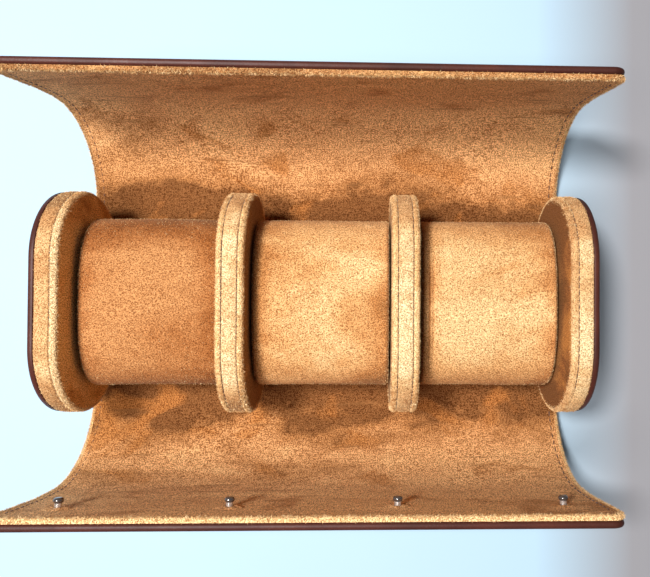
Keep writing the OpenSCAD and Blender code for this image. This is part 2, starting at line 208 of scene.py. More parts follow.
def suede(name, dark, middle, light, patch=26.0, contrast=1.0, creases=0.0, sheen=0.10, grain=1.0, weave=0.0,
          deep=None, brushed=(0.45, 1.0, 1.0), stains=0.0):
    """Brushed suede: patches where the nap lies another way, short streaks, fibrous grain and dark pits.

    A contrast, grain or weave above its default makes it stronger; stains and creases go from 0 to 1.
    """
    material, tree, shader = new_material(name, Roughness=0.95, Specular_IOR_Level=0.08, Sheen_Weight=sheen,
                                          Sheen_Roughness=0.5, Sheen_Tint=(1.0, 0.80, 0.55, 1))
    place = rest_place(tree)
    patches = noise_at(tree, stretched(tree, place, brushed), patch, 3, 0.55, 1.2)
    marks = noise_at(tree, place, 150, 3, 0.6, 0.8)
    rows = noise_at(tree, stretched(tree, place, (0.6, 1.1, 1.1)), 2900, 2, 0.6)
    columns = noise_at(tree, stretched(tree, place, (1.2, 0.7, 0.7)), 2600, 2, 0.6)
    lie = maths(tree, "MULTIPLY", patches, 0.8)
    lie = maths(tree, "MULTIPLY_ADD", marks, 0.2, lie)
    # painted light and shade: a per-point share makes the suede paler where it is painted as lit and darker where it
    # is painted as in shade
    painted_shading = add_node(tree, "ShaderNodeAttribute", attribute_name="painted_light_and_shade").outputs["Fac"]
    lie = maths(tree, "MULTIPLY_ADD", painted_shading, 0.13, lie)
    spread = 0.13 / contrast
    colour = ramp(tree, lie, [(0.5 - 1.6 * spread, deep or shaded(dark, 0.7)), (0.5 - spread, dark),
                              (0.5, middle), (0.5 + spread, light)])
    if stains:
        spots = noise_at(tree, stretched(tree, place, (0.8, 1.2, 1)), 42, 3, 0.5, 1.0)
        stain = (dark[0] * 1.05, dark[1] * 0.92, dark[2] * 0.70)
        colour = blend_colours(tree, remap(tree, spots, 0.56, 0.66, 0.0, stains), colour, stain)
    nap = maths(tree, "ADD", rows, columns)
    if weave:
        across = noise_at(tree, stretched(tree, place, (1, 0.2, 0.2)), 1900, 1, 0.5)
        along = noise_at(tree, stretched(tree, place, (0.2, 1, 1)), 1900, 1, 0.5)
        nap = maths(tree, "MULTIPLY_ADD", maths(tree, "ADD", across, along), weave, nap)
        nap = maths(tree, "SUBTRACT", nap, weave)
    fibres = ramp(tree, remap(tree, nap, 1 - 0.15 / grain, 1 + 0.15 / grain, 0.0, 1.0), FIBRE_TINTS)
    colour = blend_colours(tree, 1.0, colour, fibres, "MULTIPLY")
    pits = remap(tree, noise_at(tree, place, 2800, 1, 0.5), 0.62, 0.71, 0.0, 0.75)
    colour = blend_colours(tree, pits, colour, shaded(dark, 0.35))
    height = maths(tree, "MULTIPLY_ADD", marks, 0.8, nap)
    if creases:
        # painted shade in the creases: the colour darkens along them as well as the relief sinking
        line = noise_at(tree, stretched(tree, place, (0.10, 1, 1)), 300, 2, 0.5, 0.4)
        crease_painted_shade = remap(tree, line, 0.62, 0.72, 0.0, creases)
        colour = blend_colours(tree, crease_painted_shade, colour, shaded(dark, 0.6))
        height = maths(tree, "MULTIPLY_ADD", line, -1.5, height)
    tree.links.new(colour, shader.inputs["Base Color"])
    tree.links.new(remap(tree, lie, 0.35, 0.65, 1.0, 0.85), shader.inputs["Roughness"])
    raise_grain(tree, shader, height, 0.8, 0.3)
    return material


def leather(name, dark, light, gloss):
    """Fine-grained leather: pebbled grain, slow colour drift, and a sheen where it is rubbed."""
    material, tree, shader = new_material(name, Roughness=gloss, Specular_IOR_Level=0.22, Coat_Weight=0.02,
                                          Coat_Roughness=0.35)
    place = rest_place(tree)
    grain = add_node(tree, "ShaderNodeTexVoronoi", {"Vector": place, "Scale": 1100.0, "Randomness": 1.0},
                     feature="DISTANCE_TO_EDGE").outputs["Distance"]
    drift = noise_at(tree, place, 45, 4, 0.6, 0.4)
    fine = noise_at(tree, place, 2200, 2, 0.6)
    colour = ramp(tree, drift, [(0.32, dark), (0.68, light)])
    crease = remap(tree, grain, 0.0, 0.12, 0.35, 0.0)
    colour = blend_colours(tree, crease, colour, shaded(dark, 0.5))
    tree.links.new(colour, shader.inputs["Base Color"])
    tree.links.new(remap(tree, drift, 0.3, 0.7, gloss + 0.08, gloss - 0.06), shader.inputs["Roughness"])
    raise_grain(tree, shader, maths(tree, "MULTIPLY_ADD", fine, 0.35, grain), 0.45, 0.15)
    return material


def steel(name, dark_reflection_from=None, metallic=1.0):
    """Polished steel with faint turning marks; past a place along Y its colour may be darkened as a painted dark
    reflection.
    """
    material, tree, shader = new_material(name, Metallic=metallic, Roughness=0.18)
    place = object_place(tree)
    marks = noise_at(tree, stretched(tree, place, (1, 1, 8)), 900, 2, 0.5)
    colour = ramp(tree, marks, [(0.3, (0.62, 0.61, 0.60)), (0.7, (0.85, 0.84, 0.83))])
    if dark_reflection_from is not None:
        # painted dark reflection: the colour turns dark past the given place along Y
        reach = add_node(tree, "ShaderNodeSeparateXYZ", {0: place}).outputs["Y"]
        dark = remap(tree, reach, dark_reflection_from - 0.15 * MM, dark_reflection_from + 0.15 * MM, 0.0, 1.0)
        colour = blend_colours(tree, dark, colour, (0.17, 0.155, 0.15))
    tree.links.new(colour, shader.inputs["Base Color"])
    tree.links.new(remap(tree, marks, 0.3, 0.7, 0.14, 0.26), shader.inputs["Roughness"])
    return material


def fibre_board(name):
    """Pressed fibre board or foam: pale, matt and finely flecked."""
    material, tree, shader = new_material(name, Roughness=0.95)
    flecks = noise_at(tree, object_place(tree), 700, 4, 0.7)
    colour = ramp(tree, flecks, [(0.35, (0.33, 0.28, 0.21)), (0.65, (0.56, 0.50, 0.41))])
    tree.links.new(colour, shader.inputs["Base Color"])
    raise_grain(tree, shader, flecks, 0.4, 0.2)
    return material


def fibre(name):
    """Loose suede fibres, each a little paler or darker than the next."""
    material, tree, shader = new_material(name, Roughness=0.9, Specular_IOR_Level=0.1)
    shade = noise_at(tree, object_place(tree), 700, 1, 0.5)
    colour = ramp(tree, shade, [(0.35, (0.48, 0.23, 0.085)), (0.5, (0.78, 0.50, 0.23)), (0.65, (0.86, 0.62, 0.34))])
    tree.links.new(colour, shader.inputs["Base Color"])
    return material


def thread(name, dark, light):
    """Twisted thread: slanting plies with a soft sheen."""
    material, tree, shader = new_material(name, Roughness=0.6, Sheen_Weight=0.2)
    inputs = {"Vector": object_place(tree), "Scale": 500.0, "Distortion": 1.0}
    plies = add_node(tree, "ShaderNodeTexWave", inputs, bands_direction="DIAGONAL").outputs["Fac"]
    tree.links.new(ramp(tree, plies, [(0.2, dark), (0.8, light)]), shader.inputs["Base Color"])
    return material


# a stud's head is given a painted dark reflection past this place along Y
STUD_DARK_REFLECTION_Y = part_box("ball_studs")[1].y - 1.75 * MM  # where a stud's dark head starts
MATERIALS = {
    "lining": suede("suede of the lining", (0.42, 0.18, 0.060), (0.68, 0.33, 0.13), (0.80, 0.43, 0.18), patch=22,
                    creases=0.5, grain=2.3, weave=0.3, stains=0.7, deep=(0.20, 0.078, 0.024)),
    "raw_edge": suede("cut edge of the lining", (0.42, 0.19, 0.07), (0.62, 0.35, 0.14), (0.76, 0.50, 0.24),
                      patch=60, contrast=0.8),
    "band": suede("suede of the bands", (0.48, 0.24, 0.095), (0.64, 0.39, 0.18), (0.76, 0.56, 0.31),
                  patch=40, contrast=0.9, grain=0.8),
    "divider_face": suede("suede of the divider faces", (0.50, 0.25, 0.09), (0.72, 0.45, 0.20), (0.84, 0.60, 0.31),
                          patch=45, grain=0.8),
    # the right cap's face takes a darker copy of the divider faces' suede: painted shade
    "face": suede("suede of the face panels", (0.30, 0.112, 0.030), (0.49, 0.200, 0.048), (0.62, 0.31, 0.095),
                  patch=45, sheen=0.03),
    # the left cap's face takes a lighter copy of the face suede: painted light where the key lamp doesn't reach
    "left_face": suede("suede of the left cap's face", (0.62, 0.31, 0.10), (0.88, 0.52, 0.20), (0.94, 0.62, 0.27),
                       patch=45),
    "pillow": suede("suede of the pillows", (0.44, 0.185, 0.058), (0.61, 0.32, 0.125), (0.72, 0.46, 0.215),
                    patch=22, grain=0.85),
    # the left pillow takes a darker copy of the pillow suede: painted shade
    "pillow_dark": suede("suede of the darker pillow", (0.26, 0.085, 0.021), (0.37, 0.142, 0.044),
                         (0.48, 0.215, 0.078), patch=22, grain=0.85),
    "leather": leather("brown leather", (0.046, 0.012, 0.008), (0.085, 0.022, 0.014), 0.48),
    "steel": steel("polished steel"),
    "stud_steel": steel("polished steel with a dark head", STUD_DARK_REFLECTION_Y, metallic=0.75),
    "board": fibre_board("fibre board"),
    "thread": thread("brown thread", (0.050, 0.016, 0.006), (0.13, 0.044, 0.014)),
    "fibre": fibre("suede fibres"),
}

# ---- meshes


SHARP = math.radians(40)  # edges that turn more than this stay sharp


def add_object(name, data):
    """A mesh, lamp or camera put into the scene as an object."""
    made = bpy.data.objects.new(name, data)
    scene.collection.objects.link(made)
    return made


def rest_places(mesh):
    """The rest place of each point of a mesh, as an array."""
    places = np.zeros(len(mesh.vertices) * 3, np.float32)
    mesh.attributes["rest_place"].data.foreach_get("vector", places)
    return places.reshape(-1, 3)


def mesh_object(name, points, faces, material, places=None):
    """A closed mesh with outward faces; places are its points' rest places, or else the points themselves."""
    mesh = bpy.data.meshes.new(name)
    mesh.from_pydata([tuple(p) for p in points], [], faces)
    place = mesh.attributes.new("rest_place", "FLOAT_VECTOR", "POINT")
    place.data.foreach_set("vector", np.asarray(points if places is None else places, np.float32).ravel())
    shape = bmesh.new()
    shape.from_mesh(mesh)
    bmesh.ops.remove_doubles(shape, verts=shape.verts, dist=1e-6)
    bmesh.ops.dissolve_degenerate(shape, edges=shape.edges, dist=1e-7)
    bmesh.ops.recalc_face_normals(shape, faces=shape.faces)
    shape.to_mesh(mesh)
    shape.free()
    mesh.polygons.foreach_set("use_smooth", [True] * len(mesh.polygons))
    mesh.set_sharp_from_angle(angle=SHARP)
    mesh.materials.append(MATERIALS[material])
    return add_object(name, mesh)


def grid_faces(rows, columns, start=0, flip=False):
    """The faces of a grid of points that are numbered from start, row by row."""
    faces = []
    for r in range(rows - 1):
        for c in range(columns - 1):
            a = start + r * columns + c
            quad = (a, a + 1, a + columns + 1, a + columns)
            faces.append(quad[::-1] if flip else quad)
    return faces


def ring_faces(rings, n, loop=False, start=0):
    """Faces through rings of n points: a loop closes on itself, otherwise the end rings are filled."""
    faces = []
    for a in range(rings if loop else rings - 1):
        b = (a + 1) % rings
        faces += [(a * n + i, a * n + (i + 1) % n, b * n + (i + 1) % n, b * n + i) for i in range(n)]
    if not loop:
        faces += [tuple(range(n))[::-1], tuple(range((rings - 1) * n, rings * n))]
    return [tuple(start + point for point in face) for face in faces]


def slab(name, near, far, near_places, far_places, material):
    """A closed slab between two grids of points of the same size."""
    rows, columns = near.shape[:2]
    count = rows * columns
    faces = grid_faces(rows, columns) + grid_faces(rows, columns, count, flip=True)
    rim = list(range(columns)) + [r * columns + columns - 1 for r in range(1, rows)]
    rim += [(rows - 1) * columns + c for c in range(columns - 2, -1, -1)]
    rim += [r * columns for r in range(rows - 2, 0, -1)]
    for a, b in zip(rim, rim[1:] + rim[:1]):
        faces.append((b, a, a + count, b + count))
    points = np.vstack([near.reshape(-1, 3), far.reshape(-1, 3)])
    places = np.vstack([near_places.reshape(-1, 3), far_places.reshape(-1, 3)])
    return mesh_object(name, points, faces, material, places)


# ---- the wrap's line


def wrap_line(side):
    """The lining's face in section, from the middle of the base to the free edge, its bends smoothed."""
    shape = FLAPS[side]
    step = 0.25 * MM
    smoothed_over = 4 * MM  # to each side of a point
    total = shape["base"] + sum(strip[0] for strip in shape["strips"])
    along = np.arange(0, total + step / 2, step)
    turn = np.zeros(len(along))
    folds, start, angle = [], shape["base"], 0.0
    for length, bend, lean in shape["strips"]:
        folds.append(start)
        angle += lean
        inside = along >= start - 1e-9
        turn[inside] = angle + np.clip((along[inside] - start) / length, 0, 1) * bend
        angle += bend
        start += length
    width = int(smoothed_over / step)
    padded = np.pad(turn, width, mode="edge")
    turn = np.convolve(padded, np.ones(2 * width + 1) / (2 * width + 1), mode="valid")
    middle = (turn[1:] + turn[:-1]) / 2
    out = np.concatenate([[0], np.cumsum(np.cos(middle)) * step])
    up = WRAP_T + np.concatenate([[0], np.cumsum(np.sin(middle)) * step])
    return {"along": along, "out": out, "up": up, "turn": turn, "folds": folds, "end": total,
            "sign": shape["sign"]}


def on_wrap(line, across, along, depth):
    """The places of points given across the roll, along the wrap and in depth below the lining's face."""
    out = np.interp(along, line["along"], line["out"])
    up = np.interp(along, line["along"], line["up"])
    turn = np.interp(along, line["along"], line["turn"])
    return np.stack([across, line["sign"] * (out + depth * np.sin(turn)), up - depth * np.cos(turn)], axis=-1)


def edge_distance(line, across, along):
    """How far a point of the wrap lies inside its outline, with the rounded corners at the free edge."""
    side = WRAP_W / 2 - np.abs(across)
    end = line["end"] - along
    in_corner = (side < CORNER) & (end < CORNER)
    return np.where(in_corner, CORNER - np.hypot(CORNER - side, CORNER - end), np.minimum(side, end))


# how far inside the outline the lines of the wrap's grid lie near its edge
LEVELS = np.array([0, 0.1, 0.25, 0.45, 0.7, 1.0, 1.35, 2.0, 2.66, 2.74, 4.0, 6.0]) * MM
ACROSS = np.linspace(-1, 1, 112)[1:-1]  # the grid's columns between those, as shares of the flat width


def plan_flap(line):
    """Where a flap's pieces meet, at the middles of its strips, and where each bends to its fold line."""
    folds = line["folds"] + [line["end"]]
    middles = [(a + b) / 2 for a, b in zip(folds, folds[1:])]
    borders = [0.0] + middles[:-1] + [line["end"]]
    half = [folds[0] / 2] + [(b - a) / 2 for a, b in zip(folds, folds[1:])]
    bends = [(fold - min(a, b), fold + min(a, b)) for fold, a, b in zip(folds, half, half[1:])]
    return borders, bends


def wrap_grid(line, start, end, spacing=1.5 * MM):
    """Columns across the roll and rows along the wrap for one piece, close together near its outline."""
    rows = list(np.linspace(start, end, max(3, round((end - start) / spacing) + 1)))
    if end > line["end"] - 1e-6:
        turns = np.linspace(0, math.pi / 2, 12)
        rows = [r for r in rows if r < end - 6.5 * MM] + list(end - LEVELS)
        rows += list(end - CORNER * (1 - np.sin(turns)))
    rows = np.unique(np.round(np.array(rows), 6))
    grid_x, grid_s = [], []
    for row in rows:
        past = max(0.0, row - (line["end"] - CORNER))
        half = WRAP_W / 2 - (CORNER - math.sqrt(max(0.0, CORNER**2 - past**2)) if past else 0)
        flat = half - LEVELS[-1]
        grid_x.append(np.concatenate([-half + LEVELS, ACROSS * flat, half - LEVELS[::-1]]))
        grid_s.append(np.full(len(grid_x[-1]), row))
    return np.array(grid_x), np.array(grid_s)


def layer(name, line, start, end, near_depth, far_depth, material):
    """A layer of the wrap; near_depth and far_depth give how deep its two faces lie at each point."""
    across, along = wrap_grid(line, start, end)
    inside = np.clip(edge_distance(line, across, along), 0, None)
    grids, places = [], []
    for depth_of in (near_depth, far_depth):
        depth = depth_of(inside, across, along)
        grids.append(on_wrap(line, across, along, depth))
        places.append(np.stack([across, line["sign"] * along, -depth], axis=-1))
    return slab(name, grids[0], grids[1], places[0], places[1], material)


def rounded(inside, radius):
    """How far a rounded edge has dropped at a distance inside the outline."""
    left = np.clip(radius - inside, 0, radius)
    return radius - np.sqrt(radius**2 - left**2)


def noise_grid(across, along, scale, seed):
    """Smooth noise over the wrap, one value for each of its points."""
    flat = [noise.noise((x * scale, s * scale, seed)) for x, s in zip(across.ravel(), along.ravel())]
    return np.array(flat).reshape(across.shape)


def lining_face(inside, across, along):
    """The suede's face: slightly frayed at the cut edge, with gentle waves and creases along the roll."""
    wave = 0.30 * MM * noise_grid(across, along, 32, 1.7)
    creases = 0.25 * MM * np.clip(noise_grid(across * 0.18, along, 150, 5.1) - 0.25, 0, 1) * 2
    frayed = 0.18 * MM * noise_grid(across, along, 900, 8.3) * np.clip(1 - inside / (2 * MM), 0, 1)
    waves = np.clip(wave + creases, -0.3 * MM, 0.6 * MM) * np.clip(inside / (6 * MM), 0, 1)
    return rounded(inside, 0.8 * MM) + waves + frayed


CUT_EDGE_W = 1.3 * MM  # how far the cut edge's own suede reaches in
# per side of the wrap, as painted light and shade: how dark the painted shade is low in the flap, how far up that
# reaches and how far it fades, and the painted light at the cut edge (painted shade below 0) and towards the right
LINING_PAINTED_SHADES = {1: (-3.1, 70 * MM, 36 * MM, -3.0, 1.1), -1: (-3.4, 66 * MM, 24 * MM, 1.2, 0.4)}


def show_cut_edge(piece, line):
    """The lining's cut edge takes its own pale suede, and its points carry their nap and their painted light and
    shade.
    """
    mesh = piece.data
    mesh.materials.append(MATERIALS["raw_edge"])
    places = rest_places(mesh)
    along = np.abs(places[:, 1])
    inside = edge_distance(line, places[:, 0], along)
    for face in mesh.polygons:
        if np.mean([inside[i] for i in face.vertices]) < CUT_EDGE_W:
            face.material_index = 1
    on_face = places[:, 2] > -1.5 * MM
    set_shares(piece, "nap", np.clip(1 - (inside - 0.3 * MM) / (1.4 * MM), 0, 1) * on_face)
    low, reach, fade, at_edge, to_right = LINING_PAINTED_SHADES[line["sign"]]
    # painted shade low in the flap beside the pillows, painted light towards the free edge and the right, and at the
    # cut edge painted light on the front flap and painted shade on the back one
    dark = low * np.clip((reach - along) / fade, 0, 1) ** 1.2
    pale = 0.9 * np.clip((along - 80 * MM) / (22 * MM), 0, 1)
    edge = np.clip(1 - inside / (1.5 * MM), 0, 1) * at_edge
    right = np.clip(places[:, 0] / (90 * MM), 0, 1) * to_right + 0.3
    set_shares(piece, "painted_light_and_shade", dark + pale + edge + right)


def set_shares(piece, name, amounts):
    """A number for each point: nap is how thick fibres stand; the other share is painted light and shade, paler
    above 0 and darker below.
    """
    shares = piece.data.attributes.new(name, "FLOAT", "POINT")
    shares.data.foreach_set("value", np.asarray(amounts, np.float32))


def lining_back(inside, across, along):
    """The suede's back, flat on the board."""
    return np.full_like(inside, LINING_T)


def half_round(inside):
    """How far the leather's half-round edge reaches from its middle, at a distance inside the outline."""
    return np.sqrt(np.clip(TURN_R**2 - (TURN_R - np.clip(inside, 0, TURN_R)) ** 2, 0, None))


def leather_inner(inside, across, along):
    """The leather under the lining: the turned edge, then the face that the board lies on."""
    return np.where(inside < 2.7 * MM, LINING_T + TURN_R - half_round(inside), LINING_T + BOARD_T)


def leather_outer(inside, across, along):
    """The leather's outside, round at the edge."""
    return WRAP_T - TURN_R + half_round(inside)


# ---- stitches


def grown_from(carrier, group, values, name):
    """The mesh that a node group makes of a carrier, as a new object."""
    modifier = carrier.modifiers.new(group.name, "NODES")
    modifier.node_group = group
    for socket in group.interface.items_tree:
        if socket.in_out == "INPUT" and socket.name in values:
            modifier[socket.identifier] = values[socket.name]
    bpy.context.view_layer.update()
    ready = carrier.evaluated_get(bpy.context.evaluated_depsgraph_get())
    made = add_object(name, bpy.data.meshes.new_from_object(ready))
    carrier.modifiers.remove(modifier)
    return made


def new_group(name, inputs, output):
    """A new group of geometry nodes with (name, kind) inputs and one output, and its inputs' sockets."""
    tree = bpy.data.node_groups.new(name, "GeometryNodeTree")
    for socket, kind in inputs:
        tree.interface.new_socket(socket, in_out="INPUT", socket_type="NodeSocket" + kind)
    tree.interface.new_socket(output, in_out="OUTPUT", socket_type="NodeSocketGeometry")
    return tree, add_node(tree, "NodeGroupInput").outputs


def shape_node(tree, kind, inputs, **settings):
    """A geometry node's first output."""
    return add_node(tree, kind, inputs, **settings).outputs[0]


def xyz(tree, x, y, z):
    """A vector from three numbers."""
    return add_node(tree, "ShaderNodeCombineXYZ", {0: x, 1: y, 2: z}).outputs[0]


def stitch_tree():
    """Geometry nodes that set stitches along the lines of a mesh, each a slim capsule along its line."""
    inputs = [("Line", "Geometry"), ("Spacing", "Float"), ("Length", "Float"), ("Thickness", "Float"),
              ("Thread", "Material")]
    tree, given = new_group("stitches along a line", inputs, "Stitches")
    curve = shape_node(tree, "GeometryNodeMeshToCurve", {"Mesh": given["Line"]})
    points = shape_node(tree, "GeometryNodeResampleCurve", {"Curve": curve, "Length": given["Spacing"]},
                        mode="LENGTH")
    tangent = add_node(tree, "GeometryNodeInputTangent").outputs["Tangent"]
    turn = shape_node(tree, "FunctionNodeAlignRotationToVector", {"Vector": tangent}, axis="X")
    ball = shape_node(tree, "GeometryNodeMeshUVSphere", {"Segments": 8, "Rings": 6, "Radius": 0.5})
    size = xyz(tree, given["Length"], given["Thickness"], given["Thickness"])
    stitch = shape_node(tree, "GeometryNodeTransform", {"Geometry": ball, "Scale": size})
    inputs = {"Points": points, "Instance": stitch, "Rotation": turn}
    placed = shape_node(tree, "GeometryNodeInstanceOnPoints", inputs)
    real = shape_node(tree, "GeometryNodeRealizeInstances", {"Geometry": placed})
    smooth = shape_node(tree, "GeometryNodeSetShadeSmooth", {"Geometry": real})
    dressed = shape_node(tree, "GeometryNodeSetMaterial", {"Geometry": smooth, "Material": given["Thread"]})
    tree.links.new(dressed, add_node(tree, "NodeGroupOutput").inputs["Stitches"])
    return tree


STITCHES = stitch_tree()


def stitch_rows(name, lines, spacing=3.0, length=2.2, thickness=0.45):
    """One mesh of stitches along lines of points; a line that ends where it starts is closed."""
    points, edges = [], []
    for line in lines:
        first = len(points)
        closed = np.allclose(line[0], line[-1])
        points += [tuple(p) for p in (line[:-1] if closed else line)]
        edges += [(i, i + 1) for i in range(first, len(points) - 1)]
        if closed:
            edges.append((len(points) - 1, first))
    mesh = bpy.data.meshes.new(name + "_line")
    mesh.from_pydata(points, edges, [])
    carrier = add_object(name + "_line", mesh)
    values = {"Spacing": spacing * MM, "Length": length * MM, "Thickness": thickness * MM,
              "Thread": MATERIALS["thread"]}
    made = grown_from(carrier, STITCHES, values, name)
    bpy.data.objects.remove(carrier)
    return made


# ---- fibres


def fibre_tree():
    """Geometry nodes that stand short fibres on a surface, thickest where its nap attribute is 1."""
    inputs = [("Surface", "Geometry"), ("Density", "Float"), ("Length", "Float"), ("Thickness", "Float"),
              ("Lean", "Float"), ("Seed", "Int"), ("Fibre", "Material")]
    tree, given = new_group("fibres on suede", inputs, "Fibres")
    amount = shape_node(tree, "GeometryNodeInputNamedAttribute", {"Name": "nap"}, data_type="FLOAT")
    density = maths(tree, "MULTIPLY", given["Density"], amount)
    spread = add_node(tree, "GeometryNodeDistributePointsOnFaces",
                      {"Mesh": given["Surface"], "Density": density, "Seed": given["Seed"]}).outputs
    sizes = {"Vertices": 3, "Radius Top": 0.0, "Radius Bottom": 0.5, "Depth": 1.0}
    cone = shape_node(tree, "GeometryNodeMeshCone", sizes, fill_type="NGON")
    size = xyz(tree, given["Thickness"], given["Thickness"], given["Length"])
    one = shape_node(tree, "GeometryNodeTransform", {"Geometry": cone, "Scale": size})
    back = maths(tree, "MULTIPLY", given["Lean"], -1.0)
    low = xyz(tree, back, back, -3.14)
    high = xyz(tree, given["Lean"], given["Lean"], 3.14)
    tilt = add_node(tree, "FunctionNodeRandomValue", {"Min": low, "Max": high, "Seed": given["Seed"]},
                    data_type="FLOAT_VECTOR").outputs["Value"]
    turn = shape_node(tree, "FunctionNodeEulerToRotation", {"Euler": tilt})
    turned = shape_node(tree, "FunctionNodeRotateRotation", {"Rotation": spread["Rotation"], "Rotate By": turn},
                        rotation_space="LOCAL")
    length = add_node(tree, "FunctionNodeRandomValue", {2: 0.5, 3: 1.2, "Seed": 7}, data_type="FLOAT").outputs[1]
    inputs = {"Points": spread["Points"], "Instance": one, "Rotation": turned, "Scale": length}
    placed = shape_node(tree, "GeometryNodeInstanceOnPoints", inputs)
    real = shape_node(tree, "GeometryNodeRealizeInstances", {"Geometry": placed})
    dressed = shape_node(tree, "GeometryNodeSetMaterial", {"Geometry": real, "Material": given["Fibre"]})
    tree.links.new(dressed, add_node(tree, "NodeGroupOutput").inputs["Fibres"])
    return tree


FIBRES = fibre_tree()


def fibres_on(piece, density=9.0, length=0.9, seed=1):
    """Short fibres on a piece of suede that has a nap attribute; the density is per square millimetre."""
    values = {"Density": density / MM**2, "Length": length * MM, "Thickness": 0.18 * MM, "Lean": 0.9,
              "Seed": seed, "Fibre": MATERIALS["fibre"]}
    made = grown_from(piece, FIBRES, values, piece.name + "_fibres")
    return made


# ---- build the wrap

SIDE_SEAM_INSET = 3.4 * MM  # from the wrap's side edges to their stitches
SIDE_STITCH_STEP = 3 * MM
SEAM_SUNK = {-1: 0.12 * MM, 1: -0.08 * MM}  # the left seam lies deeper in the nap than the right one
SEAM_SUNK_UNDER = 0.12 * MM


def cut_holes(piece, line, spots, rings):
    """Holes in a layer of the wrap, each turned round its (across, along) spot through (depth, radius) rings."""
    around = np.linspace(0, 2 * math.pi, 32, endpoint=False)
    n, points, faces = len(around), [], []
    for across, along in spots:
        faces += ring_faces(len(rings), n, start=len(points))
        for depth, radius in rings:
            x, s = across + radius * np.cos(around), along + radius * np.sin(around)
            points += list(on_wrap(line, x, s, np.full(n, depth)))
    cutter = mesh_object("holes_to_cut", points, faces, "steel")
    whole = piece.data
    places = rest_places(whole)
    near = KDTree(len(whole.vertices))
    for vertex in whole.vertices:
        near.insert(vertex.co, vertex.index)
    near.balance()
    cut = piece.modifiers.new("holes", "BOOLEAN")
    cut.object, cut.operation, cut.solver = cutter, "DIFFERENCE", "EXACT"
    bpy.context.view_layer.update()
    mesh = bpy.data.meshes.new_from_object(piece.evaluated_get(bpy.context.evaluated_depsgraph_get()))
    piece.modifiers.clear()
    piece.data = mesh
    bpy.data.objects.remove(cutter)
    turn = line["sign"] * np.interp(spots[0][1], line["along"], line["turn"])
    c, s = math.cos(turn), math.sin(turn)
    way = np.array([[1, 0, 0], [0, c, s], [0, -s, c]])  # from the turned strip to the flat wrap
    rest = []
    for vertex in mesh.vertices:
        found, index, _ = near.find(vertex.co)
        rest.append(places[index] + way @ np.array(vertex.co - found))
    if "rest_place" not in mesh.attributes:
        mesh.attributes.new("rest_place", "FLOAT_VECTOR", "POINT")
    mesh.attributes["rest_place"].data.foreach_set("vector", np.array(rest, np.float32).ravel())
    mesh.set_sharp_from_angle(angle=SHARP)


def stud_spots(line):
    """Where the studs stand on the wrap."""
    return [(x, line["end"] - STUD_INSET) for x in STUD_X]


def socket_spots(line):
    """Where the snap sockets stand on the wrap, found from their packed metal."""
    low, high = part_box("snap_sockets")
    along = line["along"]
    middle = on_wrap(line, np.zeros(len(along)), along, np.full(len(along), WRAP_T - 1.8 * MM))
    far = np.hypot(middle[:, 1] - (low.y + high.y) / 2, middle[:, 2] - (low.z + high.z) / 2)
    return [(x, along[np.argmin(far)]) for x in STUD_X]


def build_flap(side):
    """One flap and its half of the base: a piece of lining, leather, stitches and fibres per fold line."""
    line = wrap_line(side)
    borders, bends = plan_flap(line)
    for k, strip in enumerate(STRIPS):
        body = f"{side}_{strip}"
        start, end = borders[k], borders[k + 1]
        lining = layer(f"{body}_suede", line, start, end, lining_face, lining_back, "lining")
        outer = layer(f"{body}_outer", line, start, end, leather_inner, leather_outer, "leather")
        if body == "front_edge":
            cut_holes(lining, line, stud_spots(line), STUD_HOLE)
        if body == "back_edge":
            for piece in (lining, outer):
                cut_holes(piece, line, socket_spots(line), SOCKET_HOLE)
        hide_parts(f"{body}_lining")
        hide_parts(f"{body}_leather")
        if side == "front" and k == 0:
            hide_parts("base_lining")
            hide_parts("base_leather")
        rows = []
        spots = np.arange(start + SIDE_STITCH_STEP / 2, min(end, line["end"] - 6 * MM), SIDE_STITCH_STEP)
        for across, sunk in SEAM_SUNK.items():
            x = np.full(len(spots), across * (WRAP_W / 2 - SIDE_SEAM_INSET))
            for depth in (sunk, WRAP_T - SEAM_SUNK_UNDER):
                rows.append(on_wrap(line, x, spots, np.full(len(spots), depth)))
        seam = stitch_rows(f"{body}_side_stitches", rows, thickness=0.55)
        show_cut_edge(lining, line)
        fibres = fibres_on(lining, 11, 0.75, seed=k + 1)
        for piece in (lining, outer, seam, fibres):
            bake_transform(piece)
    return line


def build_collars(line):
    """The suede puckered round each stud's neck, over its foot."""
    points, places, faces = [], [], []
    radii = np.array([1.25, 1.32, 1.6, 2.1, 2.7, 3.2, 3.8, 4.6]) * MM
    rise = np.array([0.05, 0.32, 0.46, 0.44, 0.34, 0.20, 0.06, -0.35]) * MM
    around = np.linspace(0, 2 * math.pi, 48, endpoint=False)
    for stud, (x0, s0) in enumerate(stud_spots(line)):
        faces += ring_faces(len(radii), len(around), loop=True, start=len(points))
        for radius, up in zip(radii, rise):
            for a in around:
                pucker = 1 + 0.22 * math.sin(7 * a + stud) * (1.3 * MM < radius < 3.5 * MM)
                x, s = x0 + 1.25 * radius * math.cos(a), s0 + radius * 0.85 * math.sin(a)
                if radius < 1.5 * MM:
                    x, s = x0 + radius * math.cos(a), s0 + radius * math.sin(a)
                points.append(on_wrap(line, np.array(x), np.array(s), np.array(-up * pucker)))
                places.append((x, -s, up))
    collars = mesh_object("stud_collars", points, faces, "lining", places)
    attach(collars, "front_edge")


# ---- oval caps, dividers


def stadium(inset, arc=40, flat=14):
    """Points round an upright oval, set in from its outline, as (Y, Z) from its middle."""
    radius = CAP_H / 2 - inset
    centre = (CAP_W - CAP_H) / 2
    ring = []
    for side in (1, -1):
        for angle in np.linspace(-math.pi / 2, math.pi / 2, arc, endpoint=False):
            ring.append((side * (centre + radius * math.cos(angle)), side * radius * math.sin(angle)))
        for share in np.linspace(0, 1, flat, endpoint=False):
            ring.append((side * centre * (1 - 2 * share), side * radius))
    return np.array(ring)


def oval_ring(x, inset):
    """An upright oval's points at a place along the roll."""
    ring = stadium(inset)
    return np.column_stack([np.full(len(ring), x), ring[:, 0], CAP_MID_Z + ring[:, 1]])


